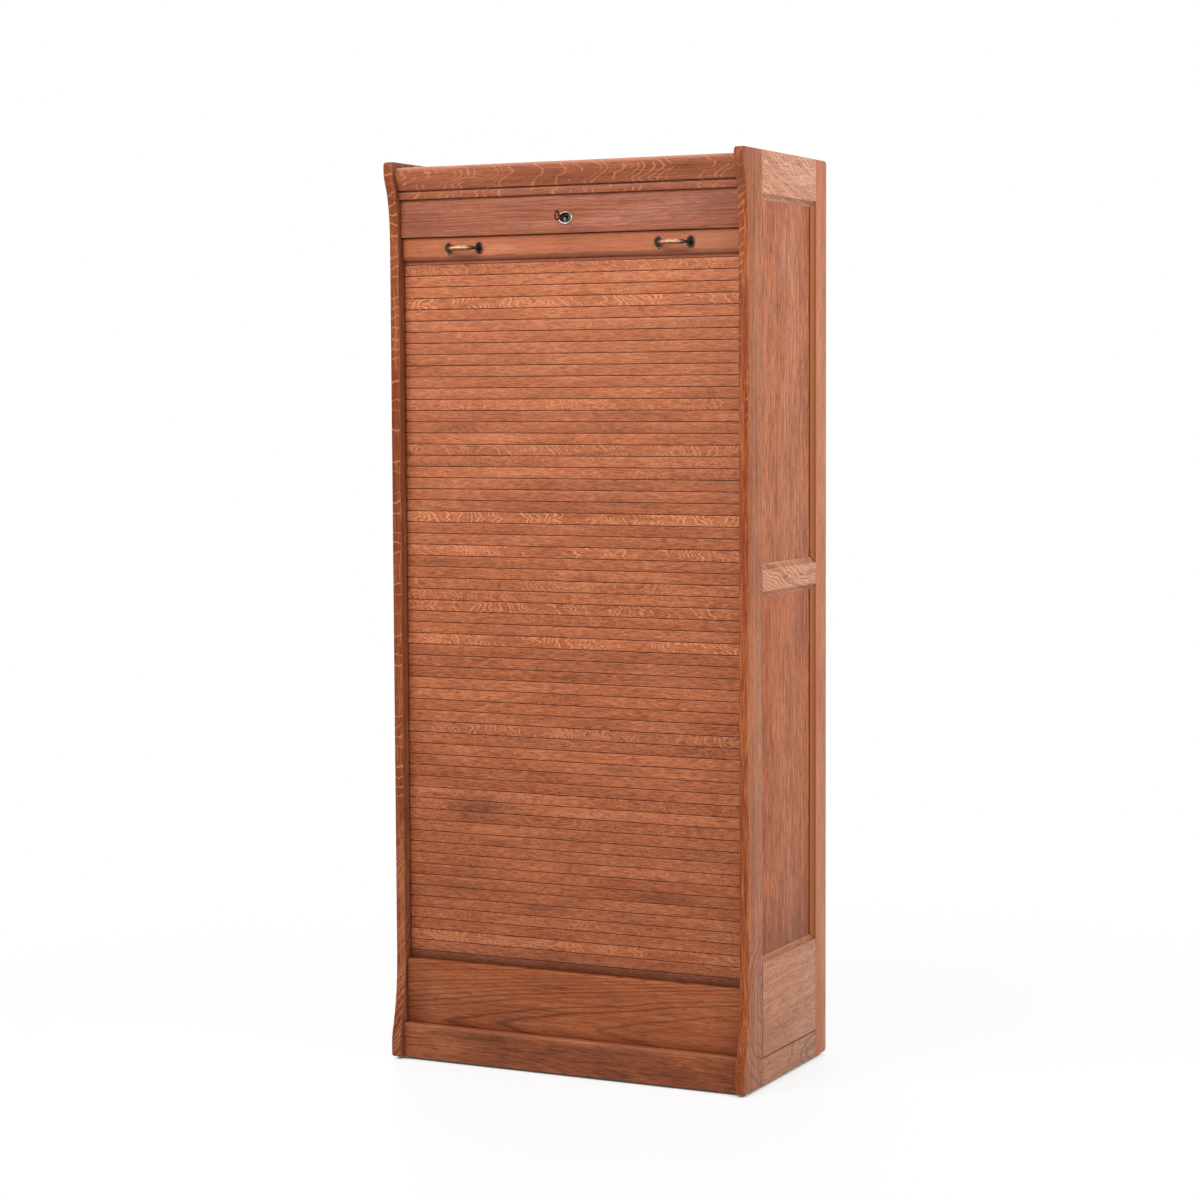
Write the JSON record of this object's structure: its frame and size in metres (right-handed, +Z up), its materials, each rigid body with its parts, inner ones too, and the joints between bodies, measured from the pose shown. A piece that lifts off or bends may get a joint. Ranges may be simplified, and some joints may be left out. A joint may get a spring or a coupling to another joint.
{
  "type": "tambour filing cabinet",
  "caption": "Tall oak filing cabinet with a full-height tambour shutter that slides down behind the bottom board, framed side panels, bow handles, an oval lock with its key, and inner shelves.",
  "frame": {"origin": "on the floor, in the middle of the footprint of the two sides", "axes": "+X to the viewer's right, +Y to the rear, +Z up; the shutter faces -Y"},
  "size_m": [0.84, 0.47, 1.95],
  "materials": {
    "oak_side_frame": "satin",
    "oak_panel": "satin",
    "oak_front": "satin",
    "oak_slats": "satin",
    "inner_wood": "satin",
    "rough_wood": "matte",
    "canvas": "matte",
    "bronze": "satin",
    "nickel": "satin",
    "lock_iron": "satin",
    "key_iron": "satin",
    "strike_brass": "satin",
    "dark_screws": "satin",
    "steel_screws": "satin",
    "glide": "matte"
  },
  "bodies": {
    "carcass": {"back_boards": "rough_wood", "back_rail": "rough_wood", "back_screws": "steel_screws", "bottom_board": "oak_front", "cleat_screws": "steel_screws", "cleats": "rough_wood", "deck": "inner_wood", "false_back": "inner_wood", "false_back_battens": "rough_wood", "glides": "glide", "keyhole_boss": "lock_iron", "left_bottom_rail": "oak_side_frame", "left_front_stile": "oak_side_frame", "left_lower_panel": "oak_panel", "left_middle_rail": "oak_side_frame", "left_rear_stile": "oak_side_frame", "left_skirt_board": "oak_side_frame", "left_top_rail": "oak_side_frame", "left_upper_panel": "oak_panel", "lock_board": "oak_front", "lock_case": "lock_iron", "lock_cover": "lock_iron", "lock_ring": "nickel", "lock_screws": "steel_screws", "plinth": "oak_front", "right_bottom_rail": "oak_side_frame", "right_front_stile": "oak_side_frame", "right_lower_panel": "oak_panel", "right_middle_rail": "oak_side_frame", "right_rear_stile": "oak_side_frame", "right_skirt_board": "oak_side_frame", "right_top_rail": "oak_side_frame", "right_upper_panel": "oak_panel", "shelf_1": "inner_wood", "shelf_2": "inner_wood", "shelf_3": "inner_wood", "shelf_4": "inner_wood", "tambour_canvas": "canvas", "tambour_slats": "oak_slats", "top_board": "inner_wood", "top_moulding": "oak_front"},
    "shutter": {"lift_rail": "oak_front", "left_handle": "bronze", "right_handle": "bronze", "handle_screws": "dark_screws", "strike_plate": "strike_brass", "strike_screws": "strike_brass"},
    "lock_cam": {"lock_cam": "lock_iron"},
    "key": {"key": "key_iron"},
    "lock_bolt": {"lock_bolt": "lock_iron"}
  },
  "joints": [
    {"name": "shutter_slide", "type": "slide", "parent": "carcass", "child": "shutter", "axis": [0, 0, -1], "range_m": [0, 1.5177], "deforming": ["tambour_slats", "tambour_canvas"]},
    {"name": "key_turn", "type": "hinge", "parent": "carcass", "child": "lock_cam", "pos_m": [0, -0.1695, 1.823], "axis": [0, 1, 0], "range_deg": [0, 90]},
    {"name": "key_pull", "type": "slide", "parent": "lock_cam", "child": "key", "axis": [0, -1, 0], "range_m": [0, 0.03]},
    {"name": "bolt_slide", "type": "slide", "parent": "carcass", "child": "lock_bolt", "axis": [0, 0, -1], "range_m": [0, 0.01]}
  ],
  "couplings": [
    {"joint": "key_turn", "follows": "bolt_slide", "rad_per_m": 157.07}
  ]
}
